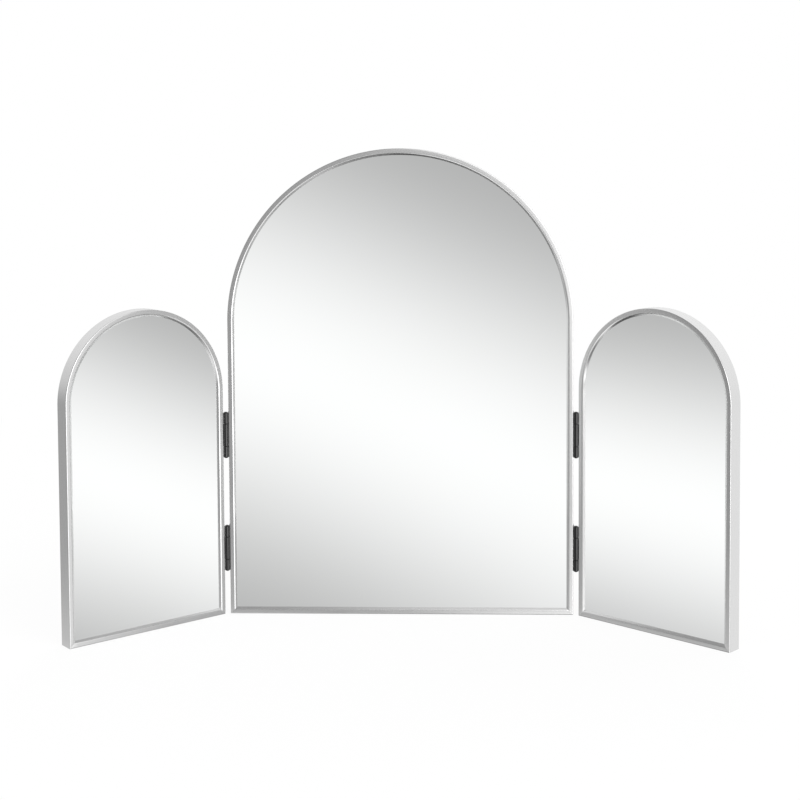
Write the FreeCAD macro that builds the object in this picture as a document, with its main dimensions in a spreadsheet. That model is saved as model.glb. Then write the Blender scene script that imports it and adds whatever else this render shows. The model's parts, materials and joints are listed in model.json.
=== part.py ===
# A trifold mirror, in millimetres: an arched centre panel with a shorter arched wing hinged to each
# side. X runs across the centre panel, Y from front to back and Z up. The origin is the middle of
# the centre panel's bottom face. The wings stand swung forward by wing_angle from flat.
import FreeCAD
import Part
import Sketcher
import os
import re

SIZES = {
    "centre_width": (508, "centre panel, over its frame"),
    "centre_height": (689, "centre panel, bottom to the top of its arch"),
    "wing_width": (252.5, "wing, over its frame"),
    "wing_height": (462, "wing, bottom to the top of its arch"),
    "wing_angle": (41, "degrees that each wing is swung forward from flat"),
    "frame_depth": (25, "frame bar, front to back"),
    "frame_face": (9.8, "front lip, from the outer side to the sight edge"),
    "frame_wall": (1.6, "outer wall of the frame bar"),
    "lip_thickness": (3.2, "front lip"),
    "bevel_width": (3, "bevel along the sight edge, across the face"),
    "bevel_depth": (2.8, "bevel along the sight edge, front to back"),
    "bevel_round": (2.8, "radius between the front face and the bevel"),
    "edge_round": (1.2, "radius of the bar's outer front edge"),
    "flange_width": (8.5, "rear flange, from the outer side"),
    "flange_thickness": (1.5, "rear flange"),
    "glass_thickness": (4, "mirror glass"),
    "glass_gap": (0.8, "edge of the glass to the frame's wall"),
    "liner_thickness": (2, "liner sheet behind the silvering"),
    "board_thickness": (12, "backing board"),
    "board_gap": (0.5, "edge of the backing board to the frame's wall"),
    "key_leg": (45, "corner key, length of each leg"),
    "key_width": (6, "corner key, width of each leg"),
    "key_gap": (0.3, "corner key to the frame's wall"),
    "key_screw_place": (30, "corner key's screws, from the panel's corner"),
    "key_screw_radius": (1.5, "shank of a corner key's screw"),
    "key_screw_head": (2.7, "head radius of a corner key's screw"),
    "key_screw_head_height": (1.2, "countersunk head of a corner key's screw"),
    "key_screw_short": (0.3, "a corner key's screw stops this far inside the key"),
    "strip_length": (36, "spring strip, end to end"),
    "strip_width": (5, "spring strip"),
    "strip_thickness": (0.6, "spring strip"),
    "strip_low": (110, "middle of the lower spring strips above the bottom"),
    "strip_below_arch": (60, "start of the arch down to the middle of the upper spring strips"),
    "hinge_lower": (99, "middle of the lower hinges above the bottom"),
    "hinge_upper": (268, "middle of the upper hinges above the bottom"),
    "hinge_length": (66, "hinge leaf and stack of knuckles"),
    "middle_knuckle": (33, "length of the wing leaf's knuckle"),
    "knuckle_gap": (0.4, "end of one knuckle to the next"),
    "knuckle_chamfer": (0.5, "chamfer round the ends of the knuckles"),
    "axis_forward": (0.5, "hinge axis in front of the frames' front faces"),
    "pin_radius": (2, "hinge pin"),
    "pin_clearance": (0.05, "hinge pin to the bore round it"),
    "dome_radius": (3.5, "domed end of a hinge pin"),
    "dome_height": (1.6, "domed end of a hinge pin"),
    "leaf_thickness": (1.7, "hinge leaf and the wall of its knuckles"),
    "leaf_margin": (5.2, "hinge screws to the rear edge of the leaf"),
    "leaf_relief": (0.6, "edge of a leaf to the other leaf's knuckle"),
    "hinge_screw_pitch": (22, "from one screw of a leaf to the next"),
    "hinge_screw_length": (16, "hinge screw, over its head"),
    "wood_screw_radius": (1.75, "shank of the hinge and hanger screws"),
    "wood_screw_head": (3.2, "head radius of the hinge and hanger screws"),
    "wood_screw_head_height": (1.4, "countersunk head of the hinge and hanger screws"),
    "recess_span": (3.2, "cross recess in a screw's head, tip to tip"),
    "recess_width": (0.9, "arm of a cross recess"),
    "recess_depth": (0.8, "cross recess"),
    "screw_clearance": (0.05, "screw to the hole round it"),
    "screw_tip_gap": (0.4, "screw tip to the end of its hole"),
    "hanger_spacing": (300, "from one hanger plate to the other"),
    "hanger_drop": (149, "top of the arch down to the middle of the hanger plates"),
    "hanger_width": (20, "hanger plate"),
    "hanger_length": (66, "hanger plate"),
    "hanger_thickness": (1.5, "hanger plate"),
    "hanger_corner": (4, "radius of the hanger plate's corners"),
    "hanger_screw_inset": (8, "hanger screws to the ends of the plate"),
    "hanger_screw_length": (10, "hanger screw, over its head"),
    "keyhole_radius": (5, "round entry of the keyhole"),
    "keyhole_slot": (2.5, "half the width of the keyhole's slot"),
    "keyhole_rise": (13, "middle of the round entry to the top of the slot"),
    "keyhole_room": (3, "board cut back round the keyhole"),
    "keyhole_depth": (8, "depth of the board's recess behind the keyhole"),
}

BEVEL_LENGTH = "hypot(bevel_width; bevel_depth)"
BEVEL_START = "(frame_face - bevel_width)"
BEVEL_TRIM = f"(bevel_round * ({BEVEL_LENGTH} - bevel_width) / bevel_depth)"
BOARD_FRONT = "(lip_thickness + glass_thickness + liner_thickness)"
BOARD_BACK = f"({BOARD_FRONT} + board_thickness)"
CHANNEL = f"(frame_depth - flange_thickness - {BOARD_BACK})"
CHANNEL_LINE = "((frame_wall + flange_width) / 2)"
KEY_LINE = "(frame_wall + key_gap + key_width / 2)"
KNUCKLE = "(pin_radius + pin_clearance + leaf_thickness)"
HINGE_X = f"(centre_width / 2 + {KNUCKLE})"
HINGE_Y = "(-frame_depth / 2 - axis_forward)"
SCREW_LINE = f"(axis_forward + {BOARD_FRONT} + board_thickness / 2)"
LEAF_WIDTH = f"({SCREW_LINE} + leaf_margin)"
HINGE_SCREW_HOLE = "(wood_screw_radius + screw_clearance)"
KEY_SCREW_HOLE = "(key_screw_radius + screw_clearance)"
KEY_SCREW_LENGTH = f"(flange_thickness + {CHANNEL} - key_screw_short)"
HANGER_HEIGHT = "(centre_height - hanger_drop)"
KEYHOLE_HEIGHT = f"({HANGER_HEIGHT} - keyhole_rise / 2)"

UP = FreeCAD.Vector(0, 0, 1)
ALONG_X = FreeCAD.Rotation(FreeCAD.Vector(0, 1, 0), 90)
AGAINST_X = FreeCAD.Rotation(FreeCAD.Vector(0, 1, 0), -90)
FORWARD = FreeCAD.Rotation(FreeCAD.Vector(1, 0, 0), 90)

doc = FreeCAD.newDocument("TrifoldMirror")
sheet = doc.addObject("Spreadsheet::Sheet", "Sizes")
for row, (size_name, (size, meaning)) in enumerate(SIZES.items(), start=1):
    sheet.set(f"A{row}", size_name)
    sheet.set(f"B{row}", str(size))
    sheet.set(f"C{row}", meaning)
    sheet.setAlias(f"B{row}", size_name)
doc.recompute()

subparts = []


def sized(formula):
    """A formula with each size in it written as a reference to its cell."""
    return re.sub(r"[a-z_]+", lambda word: f"Sizes.{word[0]}" if word[0] in SIZES else word[0], formula)


def number(formula):
    """What a formula comes to now, used to draw a sketch close to where its constraints put it."""
    result = sheet.evalExpression(sized(formula))
    return float(getattr(result, "Value", result))


def spot(x, y):
    return FreeCAD.Vector(number(x), number(y), 0)


def bind(thing, **formulas):
    for name, formula in formulas.items():
        thing.setExpression(name.replace("__", "."), sized(formula))


def locate(thing, x="0", y="0", z="0"):
    bind(thing, Placement__Base__x=x, Placement__Base__y=y, Placement__Base__z=z)


def new_body(label, many=False):
    body = doc.addObject("PartDesign::Body", label)
    body.Label = label
    body.AllowCompound = many
    return body


def sketch_on(body, plane, offset="0"):
    """A sketch on one of the body's own planes, moved along that plane's normal."""
    sketch = body.newObject("Sketcher::SketchObject", f"{body.Name}_sketch")
    planes = {feature.Role: feature for feature in body.Origin.OriginFeatures}
    sketch.AttachmentSupport = (planes[plane], [""])
    sketch.MapMode = "FlatFace"
    bind(sketch, AttachmentOffset__Base__z=offset)
    return sketch


def constrain(sketch, kind, shape, point, formula):
    """A distance from the sketch's origin, bound to a formula."""
    rule = Sketcher.Constraint(kind, -1, 1, shape, point, number(formula))
    sketch.setExpression(f"Constraints[{sketch.addConstraint(rule)}]", sized(formula))


def pin_point(sketch, shape, point, x, y):
    constrain(sketch, "DistanceX", shape, point, x)
    constrain(sketch, "DistanceY", shape, point, y)


def join(sketch, shape, point, other, other_point):
    sketch.addConstraint(Sketcher.Constraint("Coincident", shape, point, other, other_point))


def chain(sketch, corners):
    """Straight lines from corner to corner, left open. Returns the first and last line."""
    first = sketch.GeometryCount
    last = first + len(corners) - 2
    for start, end in zip(corners, corners[1:]):
        sketch.addGeometry(Part.LineSegment(spot(*start), spot(*end)))
    for line in range(first, last):
        join(sketch, line, 2, line + 1, 1)
    for line, corner in enumerate(corners[:-1], start=first):
        pin_point(sketch, line, 1, *corner)
    pin_point(sketch, last, 2, *corners[-1])
    return first, last


def polygon(sketch, corners):
    first, last = chain(sketch, corners)
    closing = sketch.addGeometry(Part.LineSegment(spot(*corners[-1]), spot(*corners[0])))
    join(sketch, last, 2, closing, 1)
    join(sketch, closing, 2, first, 1)


def add_arc(sketch, centre, start, end):
    """An arc turning anticlockwise from start to end, whose ends are then joined to something."""
    middle = spot(*centre)
    ends = [spot(*point) - middle for point in (start, end)]
    angles = [FreeCAD.Vector(1, 0, 0).getAngle(ray) * (1 if ray.y >= 0 else -1) for ray in ends]
    circle = Part.Circle(middle, UP, ends[0].Length)
    return sketch.addGeometry(Part.ArcOfCircle(circle, *angles))


def circle_at(sketch, x, y, radius):
    ring = sketch.addGeometry(Part.Circle(spot(x, y), UP, number(radius)))
    pin_point(sketch, ring, 3, x, y)
    rule = Sketcher.Constraint("Radius", ring, number(radius))
    sketch.setExpression(f"Constraints[{sketch.addConstraint(rule)}]", sized(radius))


def rounded_plate(sketch, half_x, half_y, radius):
    """A rectangle about the sketch's origin, its corners rounded."""
    flat_x, flat_y = f"({half_x} - {radius})", f"({half_y} - {radius})"
    right = [(half_x, f"-{flat_y}"), (half_x, flat_y)]
    top = [(flat_x, half_y), (f"-{flat_x}", half_y)]
    left = [(f"-{half_x}", flat_y), (f"-{half_x}", f"-{flat_y}")]
    bottom = [(f"-{flat_x}", f"-{half_y}"), (flat_x, f"-{half_y}")]
    sides = [right, top, left, bottom]
    centres = [(flat_x, flat_y), (f"-{flat_x}", flat_y), (f"-{flat_x}", f"-{flat_y}"), (flat_x, f"-{flat_y}")]
    lines = [chain(sketch, side)[0] for side in sides]
    for index, centre in enumerate(centres):
        following = (index + 1) % 4
        corner = add_arc(sketch, centre, sides[index][1], sides[following][0])
        join(sketch, lines[index], 2, corner, 1)
        join(sketch, corner, 2, lines[following], 1)
        constrain(sketch, "DistanceX", corner, 3, centre[0])


def arch_line(sketch, half, bottom, spring):
    """Up the right side, half a turn over the top and down the left side, left open."""
    right = [(half, bottom), (half, spring)]
    left = [(f"-({half})", spring), (f"-({half})", bottom)]
    up, _ = chain(sketch, right)
    down, _ = chain(sketch, left)
    top = add_arc(sketch, ("0", spring), right[1], left[0])
    join(sketch, up, 2, top, 1)
    join(sketch, top, 2, down, 1)
    constrain(sketch, "DistanceY", top, 3, spring)
    return up, down


def arch(sketch, half, bottom, spring):
    """The outline of a panel: straight sides, a flat bottom and a half-round top."""
    up, down = arch_line(sketch, half, bottom, spring)
    ends = spot(f"-({half})", bottom), spot(half, bottom)
    base = sketch.addGeometry(Part.LineSegment(*ends))
    join(sketch, down, 2, base, 1)
    join(sketch, base, 2, up, 1)


def bar_section(sketch, place):
    """The frame bar's section: front lip with its bevel, outer wall and rear flange.

    place turns a distance in from the outer side and a depth from the front into a sketch point.
    Two rounds join the front face to the bevel and to the outer wall.
    """
    front = [place("edge_round", "0"), place(f"({BEVEL_START} - {BEVEL_TRIM})", "0")]
    back = [
        place(
            f"({BEVEL_START} + {BEVEL_TRIM} * bevel_width / {BEVEL_LENGTH})",
            f"({BEVEL_TRIM} * bevel_depth / {BEVEL_LENGTH})",
        ),
        place("frame_face", "bevel_depth"),
        place("frame_face", "lip_thickness"),
        place("frame_wall", "lip_thickness"),
        place("frame_wall", "(frame_depth - flange_thickness)"),
        place("flange_width", "(frame_depth - flange_thickness)"),
        place("flange_width", "frame_depth"),
        place("0", "frame_depth"),
        place("0", "edge_round"),
    ]
    face, _ = chain(sketch, front)
    bevel, wall = chain(sketch, back)
    centre = place("edge_round", "edge_round")
    corner = add_arc(sketch, centre, front[0], back[-1])
    join(sketch, corner, 1, face, 1)
    join(sketch, corner, 2, wall, 2)
    constrain(sketch, "DistanceX", corner, 3, centre[0])
    centre = place(f"({BEVEL_START} - {BEVEL_TRIM})", "bevel_round")
    corner = add_arc(sketch, centre, back[0], front[1])
    join(sketch, corner, 1, bevel, 1)
    join(sketch, corner, 2, face, 2)
    constrain(sketch, "DistanceX", corner, 3, centre[0])


def pad(body, sketch, length, sides="One side", backwards=False):
    feature = body.newObject("PartDesign::Pad", f"{body.Name}_pad")
    feature.Profile = sketch
    feature.SideType = sides
    feature.Reversed = backwards
    bind(feature, Length=length)
    return feature


def revolve(body, sketch):
    """A sketch turned once round its own upright axis."""
    feature = body.newObject("PartDesign::Revolution", f"{body.Name}_turned")
    feature.Profile = sketch
    feature.ReferenceAxis = (sketch, ["V_Axis"])
    feature.Angle = 360
    return feature


def pocket(body, sketch, length=None, sides="One side", backwards=False):
    """Cuts a sketch out of the body, right through it where no length is given."""
    feature = body.newObject("PartDesign::Pocket", f"{body.Name}_pocket")
    feature.Profile = sketch
    feature.SideType = sides
    feature.Reversed = backwards
    if length is None:
        feature.Type = "ThroughAll"
    else:
        bind(feature, Length=length)
    return feature


def countersink(body, turn, x, y, z, wide, narrow, height):
    cone = body.newObject("PartDesign::SubtractiveCone", f"{body.Name}_countersink")
    cone.Placement = FreeCAD.Placement(FreeCAD.Vector(), turn)
    bind(cone, Radius1=f"{wide} + screw_clearance", Radius2=f"{narrow} + screw_clearance", Height=height)
    locate(cone, x, y, z)


def put_in_panel(thing, side):
    """Places a piece drawn in its panel's own frame: X across, front face at Y 0, bottom at Z 0."""
    if side == 0:
        locate(thing, y="-frame_depth / 2")
        return
    out = f"({KNUCKLE} + wing_width / 2)"
    thing.Placement = FreeCAD.Placement(FreeCAD.Vector(), FreeCAD.Rotation(UP * -side, number("wing_angle")))
    bind(thing, Placement__Rotation__Angle="wing_angle")
    locate(
        thing,
        x=f"{side} * ({HINGE_X} + {out} * cos(wing_angle) + axis_forward * sin(wing_angle))",
        y=f"{HINGE_Y} - {out} * sin(wing_angle) + axis_forward * cos(wing_angle)",
    )


def put_on_hinge(thing, side, z, swung):
    """Places a piece drawn about its hinge's axis, and swings it with the wing if it belongs to it."""
    if swung:
        turn = FreeCAD.Rotation(UP * -side, number("wing_angle"))
        thing.Placement = FreeCAD.Placement(FreeCAD.Vector(), turn)
        bind(thing, Placement__Rotation__Angle="wing_angle")
    locate(thing, x=f"{side} * {HINGE_X}", y=HINGE_Y, z=z)


def screw_master(label, head, radius, head_height, length):
    """One countersunk screw, its cross-recessed head at the origin and its shank along Z."""
    cone = doc.addObject("Part::Cone", f"{label}_head")
    bind(cone, Radius1=head, Radius2=radius, Height=head_height)
    shank = doc.addObject("Part::Cylinder", f"{label}_shank")
    bind(shank, Radius=radius, Height=f"{length} - {head_height}")
    locate(shank, z=head_height)
    screw = doc.addObject("Part::Fuse", f"{label}_blank")
    screw.Base = cone
    screw.Tool = shank
    for across, up in (("recess_span", "recess_width"), ("recess_width", "recess_span")):
        arm = doc.addObject("Part::Box", f"{label}_arm")
        bind(arm, Length=across, Width=up, Height="recess_depth")
        locate(arm, f"-{across} / 2", f"-{up} / 2")
        cut = doc.addObject("Part::Cut", f"{label}_cut")
        cut.Base = screw
        cut.Tool = arm
        screw = cut
    return screw


def group(label, master, places):
    """Copies of one small piece as separate solids: places holds a turn and a position for each."""
    copies = []
    for turn, x, y, z in places:
        copy = doc.addObject("App::Link", f"{label}_copy")
        copy.LinkedObject = master
        copy.Placement = FreeCAD.Placement(FreeCAD.Vector(), turn)
        locate(copy, x, y, z)
        copies.append(copy)
    together = doc.addObject("Part::Compound", label)
    together.Label = label
    together.Links = copies
    subparts.append(together)
    return together


def hinge_screw_heights():
    return [
        f"({middle} + {step} * hinge_screw_pitch)"
        for middle in ("hinge_lower", "hinge_upper")
        for step in (-1, 0, 1)
    ]


def make_frame_arch(name, half, spring, hinge_sides):
    """Two stiles and the half-round top: one bar swept round the arch and mitred at its feet."""
    body = new_body(f"{name}_frame_arch")
    section = sketch_on(body, "XY_Plane")
    bar_section(section, lambda inward, depth: (f"({half} - {inward})", depth))
    path = sketch_on(body, "XZ_Plane")
    arch_line(path, half, "0", spring)
    sweep = body.newObject("PartDesign::AdditivePipe", f"{body.Name}_sweep")
    sweep.Profile = section
    sweep.Spine = (path, ["Edge1", "Edge3", "Edge2"])
    mitres = sketch_on(body, "XZ_Plane")
    for sign in (1, -1):
        inner = f"{sign} * ({half} - 2 * frame_face)"
        polygon(mitres, [(f"{sign} * {half}", "0"), (inner, "0"), (inner, "2 * frame_face")])
    pocket(body, mitres, sides="Symmetric")
    holes = sketch_on(body, "YZ_Plane")
    for height in hinge_screw_heights():
        circle_at(holes, f"{SCREW_LINE} - axis_forward", height, HINGE_SCREW_HOLE)
    if len(hinge_sides) == 2:
        pocket(body, holes, sides="Symmetric")
    else:
        pocket(body, holes, backwards=hinge_sides[0] > 0)
    bores = sketch_on(body, "XZ_Plane", f"-({BOARD_BACK})")
    for sign in (1, -1):
        x = f"{sign} * ({half} - {KEY_LINE})"
        circle_at(bores, x, "key_screw_place", KEY_SCREW_HOLE)
    pocket(body, bores)
    for sign in (1, -1):
        x = f"{sign} * ({half} - {KEY_LINE})"
        countersink(
            body, FORWARD, x, "frame_depth", "key_screw_place",
            "key_screw_head", "key_screw_radius", "key_screw_head_height",
        )
    return body


def make_frame_rail(name, half):
    """The bottom rail: the same bar, straight, mitred at both ends to meet the stiles."""
    body = new_body(f"{name}_frame_rail")
    section = sketch_on(body, "YZ_Plane")
    bar_section(section, lambda inward, depth: (depth, inward))
    pad(body, section, f"2 * {half}", sides="Symmetric")
    mitres = sketch_on(body, "XZ_Plane")
    for sign in (1, -1):
        outer, inner = f"{sign} * {half}", f"{sign} * ({half} - 2 * frame_face)"
        polygon(mitres, [(outer, "0"), (outer, "2 * frame_face"), (inner, "2 * frame_face")])
    pocket(body, mitres, sides="Symmetric")
    bores = sketch_on(body, "XZ_Plane", f"-({BOARD_BACK})")
    for sign in (1, -1):
        circle_at(bores, f"{sign} * ({half} - key_screw_place)", KEY_LINE, KEY_SCREW_HOLE)
    pocket(body, bores)
    for sign in (1, -1):
        countersink(
            body, FORWARD, f"{sign} * ({half} - key_screw_place)", "frame_depth", KEY_LINE,
            "key_screw_head", "key_screw_radius", "key_screw_head_height",
        )
    return body


def make_sheet(label, half, spring, gap, front, thickness):
    """A flat sheet cut to the panel's outline, standing on the bottom rail."""
    body = new_body(label)
    outline = sketch_on(body, "XZ_Plane", f"-({front})")
    arch(outline, f"({half} - frame_wall - {gap})", "frame_wall", spring)
    pad(body, outline, thickness, backwards=True)
    return body


def make_board(name, half, spring, hinge_sides):
    """The backing board, bored from its edges for the hinge screws."""
    label = f"{name}_backing_board"
    body = make_sheet(label, half, spring, "board_gap", BOARD_FRONT, "board_thickness")
    edge = f"({half} - frame_wall - board_gap)"
    reach = f"(hinge_screw_length - leaf_thickness - frame_wall - board_gap + screw_tip_gap)"
    for side in hinge_sides:
        holes = sketch_on(body, "YZ_Plane", f"{side} * {edge}")
        for height in hinge_screw_heights():
            circle_at(holes, f"{SCREW_LINE} - axis_forward", height, HINGE_SCREW_HOLE)
        pocket(body, holes, reach, backwards=side < 0)
    return body


def make_corner_keys(name, half):
    """Two flat L-shaped plates behind the rear flange that tie the mitred corners together."""
    body = new_body(f"{name}_corner_keys", many=True)
    plates = sketch_on(body, "XZ_Plane", f"-({BOARD_BACK})")
    bores = sketch_on(body, "XZ_Plane", f"-({BOARD_BACK})")
    start = "(frame_wall + key_gap)"
    across, end = f"({start} + key_width)", f"({start} + key_leg)"
    for sign in (1, -1):
        steps = [(start, start), (start, end), (across, end), (across, across), (end, across), (end, start)]
        polygon(plates, [(f"{sign} * ({half} - {inward})", up) for inward, up in steps])
        circle_at(bores, f"{sign} * ({half} - {KEY_LINE})", "key_screw_place", KEY_SCREW_HOLE)
        circle_at(bores, f"{sign} * ({half} - key_screw_place)", KEY_LINE, KEY_SCREW_HOLE)
    pad(body, plates, CHANNEL, backwards=True)
    pocket(body, bores)
    return body


def make_panel(name, width, height, side):
    """All the pieces of one panel that don't belong to its hinges."""
    half, spring = f"({width} / 2)", f"({height} - {width} / 2)"
    hinge_sides = (1, -1) if side == 0 else (-side,)
    glass = make_sheet(
        f"{name}_mirror_glass", half, spring, "glass_gap", "lip_thickness", "glass_thickness"
    )
    liner = make_sheet(
        f"{name}_liner", half, spring, "glass_gap", "lip_thickness + glass_thickness", "liner_thickness"
    )
    board = make_board(name, half, spring, hinge_sides)
    pieces = [
        make_frame_arch(name, half, spring, hinge_sides),
        make_frame_rail(name, half),
        glass,
        liner,
        board,
        make_corner_keys(name, half),
    ]
    subparts.extend(pieces)
    key_places = []
    for sign in (1, -1):
        key_places.append((FORWARD, f"{sign} * ({half} - {KEY_LINE})", "frame_depth", "key_screw_place"))
        key_places.append((FORWARD, f"{sign} * ({half} - key_screw_place)", "frame_depth", KEY_LINE))
    pieces.append(group(f"{name}_key_screws", key_screw, key_places))
    upright = FreeCAD.Rotation()
    crown = f"({height} - {CHANNEL_LINE} - pow(strip_length / 2; 2) / {width})"
    strip_places = [
        (ALONG_X, "0", BOARD_BACK, CHANNEL_LINE),
        (ALONG_X, "0", BOARD_BACK, crown),
    ]
    for sign in (1, -1):
        for z in ("strip_low", f"{spring} - strip_below_arch"):
            strip_places.append((upright, f"{sign} * ({half} - {CHANNEL_LINE})", BOARD_BACK, z))
    pieces.append(group(f"{name}_spring_strips", spring_strip, strip_places))
    for piece in pieces:
        put_in_panel(piece, side)
    return board


def make_spring_strip():
    """A bowed strip: its ends press on the backing board and its crown on the rear flange."""
    body = new_body("spring_strip")
    rise = f"({CHANNEL} - strip_thickness)"
    inner = f"((pow(strip_length / 2; 2) + pow({rise}; 2)) / (2 * {rise}))"
    centre = f"({rise} - {inner})"
    grown = f"(({inner} + strip_thickness) / {inner})"
    low, high = ("0", "-strip_length / 2"), ("0", "strip_length / 2")
    outer_y = f"{centre} * (1 - {grown})"
    outer_low = (outer_y, f"-strip_length / 2 * {grown}")
    outer_high = (outer_y, f"strip_length / 2 * {grown}")
    profile = sketch_on(body, "YZ_Plane")
    foot, _ = chain(profile, [low, outer_low])
    head, _ = chain(profile, [outer_high, high])
    outside = add_arc(profile, (centre, "0"), outer_low, outer_high)
    inside = add_arc(profile, (centre, "0"), low, high)
    join(profile, foot, 2, outside, 1)
    join(profile, outside, 2, head, 1)
    join(profile, head, 2, inside, 2)
    join(profile, inside, 1, foot, 1)
    constrain(profile, "DistanceX", outside, 3, centre)
    constrain(profile, "DistanceX", inside, 3, centre)
    pad(body, profile, "strip_width", sides="Symmetric")
    return body


def make_leaf(label, side, middle):
    """A hinge leaf lying against its panel, which is towards side along X, and its rolled knuckles."""
    body = new_body(label)
    edge = f"({KNUCKLE} + leaf_relief)"
    end = "(hinge_length / 2)"
    step = "(middle_knuckle / 2)" if middle else "(middle_knuckle / 2 + knuckle_gap)"
    near, far = (edge, "0") if middle else ("0", edge)
    corners = [(near, f"-{end}"), (near, f"-{step}"), (far, f"-{step}")]
    corners += [(y, z.replace("-", "")) for y, z in reversed(corners)]
    corners += [(LEAF_WIDTH, end), (LEAF_WIDTH, f"-{end}")]
    inner_face = f"({KNUCKLE} - leaf_thickness)"
    plate = sketch_on(body, "YZ_Plane", inner_face if side > 0 else f"-{KNUCKLE}")
    polygon(plate, corners)
    pad(body, plate, "leaf_thickness")
    starts = [f"-{step}"] if middle else [f"-{end}", step]
    length = "middle_knuckle" if middle else f"({end} - {step})"
    bore, shoulder = "(pin_radius + pin_clearance)", f"({KNUCKLE} - knuckle_chamfer)"
    for start in starts:
        stop = f"({start} + {length})"
        barrel = sketch_on(body, "XZ_Plane")
        polygon(barrel, [
            (bore, start), (shoulder, start), (KNUCKLE, f"({start} + knuckle_chamfer)"),
            (KNUCKLE, f"({stop} - knuckle_chamfer)"), (shoulder, stop), (bore, stop),
        ])
        revolve(body, barrel)
    holes = sketch_on(body, "YZ_Plane")
    for place in (-1, 0, 1):
        circle_at(holes, SCREW_LINE, f"{place} * hinge_screw_pitch", HINGE_SCREW_HOLE)
    pocket(body, holes, sides="Symmetric")
    for place in (-1, 0, 1):
        countersink(
            body, ALONG_X if side > 0 else AGAINST_X,
            f"{side} * {inner_face}", SCREW_LINE, f"{place} * hinge_screw_pitch",
            "wood_screw_head", "wood_screw_radius", "wood_screw_head_height",
        )
    subparts.append(body)
    return body


def make_pin(label):
    """A hinge pin turned with a domed end above and below the knuckles."""
    body = new_body(label)
    profile = sketch_on(body, "XZ_Plane")
    ball = "((pow(dome_radius; 2) + pow(dome_height; 2)) / (2 * dome_height))"
    end, tip = "(hinge_length / 2)", "(hinge_length / 2 + dome_height)"
    axis, _ = chain(profile, [("0", tip), ("0", f"-{tip}")])
    bottom, side = chain(
        profile,
        [("dome_radius", f"-{end}"), ("pin_radius", f"-{end}"), ("pin_radius", end), ("dome_radius", end)],
    )
    lower = add_arc(profile, ("0", f"-({tip} - {ball})"), ("0", f"-{tip}"), ("dome_radius", f"-{end}"))
    upper = add_arc(profile, ("0", f"({tip} - {ball})"), ("dome_radius", end), ("0", tip))
    join(profile, axis, 2, lower, 1)
    join(profile, lower, 2, bottom, 1)
    join(profile, side, 2, upper, 1)
    join(profile, upper, 2, axis, 1)
    constrain(profile, "DistanceY", lower, 3, f"-({tip} - {ball})")
    constrain(profile, "DistanceY", upper, 3, f"({tip} - {ball})")
    revolve(body, profile)
    subparts.append(body)
    return body


def make_hinge(name, side, height):
    centre_leaf = make_leaf(f"{name}_hinge_centre_leaf", -side, middle=False)
    put_on_hinge(centre_leaf, side, height, swung=False)
    wing_leaf = make_leaf(f"{name}_hinge_wing_leaf", side, middle=True)
    put_on_hinge(wing_leaf, side, height, swung=True)
    put_on_hinge(make_pin(f"{name}_hinge_pin"), side, height, swung=False)


def make_hanger(label, side):
    """A stamped plate with a keyhole, screwed to the back of the centre panel's board."""
    body = new_body(label)
    plate = sketch_on(body, "XZ_Plane")
    half = "(hanger_length / 2)"
    rounded_plate(plate, "(hanger_width / 2)", half, "hanger_corner")
    pad(body, plate, "hanger_thickness", backwards=True)
    entry = sketch_on(body, "XZ_Plane")
    circle_at(entry, "0", "-keyhole_rise / 2", "keyhole_radius")
    for sign in (1, -1):
        circle_at(entry, "0", f"{sign} * ({half} - hanger_screw_inset)", HINGE_SCREW_HOLE)
    pocket(body, entry, sides="Symmetric")
    slot = sketch_on(body, "XZ_Plane")
    arch(slot, "keyhole_slot", "-keyhole_rise / 2", "keyhole_rise / 2")
    pocket(body, slot, sides="Symmetric")
    for sign in (1, -1):
        countersink(
            body, FORWARD, "0", "hanger_thickness", f"{sign} * ({half} - hanger_screw_inset)",
            "wood_screw_head", "wood_screw_radius", "wood_screw_head_height",
        )
    locate(body, f"{side} * hanger_spacing / 2", f"{BOARD_BACK} - frame_depth / 2", HANGER_HEIGHT)
    subparts.append(body)
    return body


def cut_hanger_recesses(board):
    """Room in the board for the head of each wall screw, and holes for the hangers' own screws."""
    recess = sketch_on(board, "XZ_Plane", f"-({BOARD_BACK})")
    holes = sketch_on(board, "XZ_Plane", f"-({BOARD_BACK})")
    half = "(keyhole_radius + keyhole_room)"
    for side in (1, -1):
        x = f"({side} * hanger_spacing / 2)"
        low, high = f"({KEYHOLE_HEIGHT} - {half})", f"({KEYHOLE_HEIGHT} + keyhole_rise + {half})"
        left, right = f"({x} - {half})", f"({x} + {half})"
        polygon(recess, [(left, low), (right, low), (right, high), (left, high)])
        for sign in (1, -1):
            z = f"({HANGER_HEIGHT} + {sign} * (hanger_length / 2 - hanger_screw_inset))"
            circle_at(holes, x, z, HINGE_SCREW_HOLE)
    pocket(board, recess, "keyhole_depth", backwards=True)
    pocket(board, holes, "hanger_screw_length - hanger_thickness + screw_tip_gap", backwards=True)


key_screw = screw_master(
    "key_screw", "key_screw_head", "key_screw_radius", "key_screw_head_height", KEY_SCREW_LENGTH
)
hinge_screw = screw_master(
    "hinge_screw", "wood_screw_head", "wood_screw_radius", "wood_screw_head_height", "hinge_screw_length"
)
hanger_screw = screw_master(
    "hanger_screw", "wood_screw_head", "wood_screw_radius", "wood_screw_head_height", "hanger_screw_length"
)
spring_strip = make_spring_strip()

centre_board = make_panel("centre", "centre_width", "centre_height", 0)
make_panel("left_wing", "wing_width", "wing_height", -1)
make_panel("right_wing", "wing_width", "wing_height", 1)

for side_name, side in (("left", -1), ("right", 1)):
    make_hinge(f"{side_name}_lower", side, "hinge_lower")
    make_hinge(f"{side_name}_upper", side, "hinge_upper")

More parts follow.
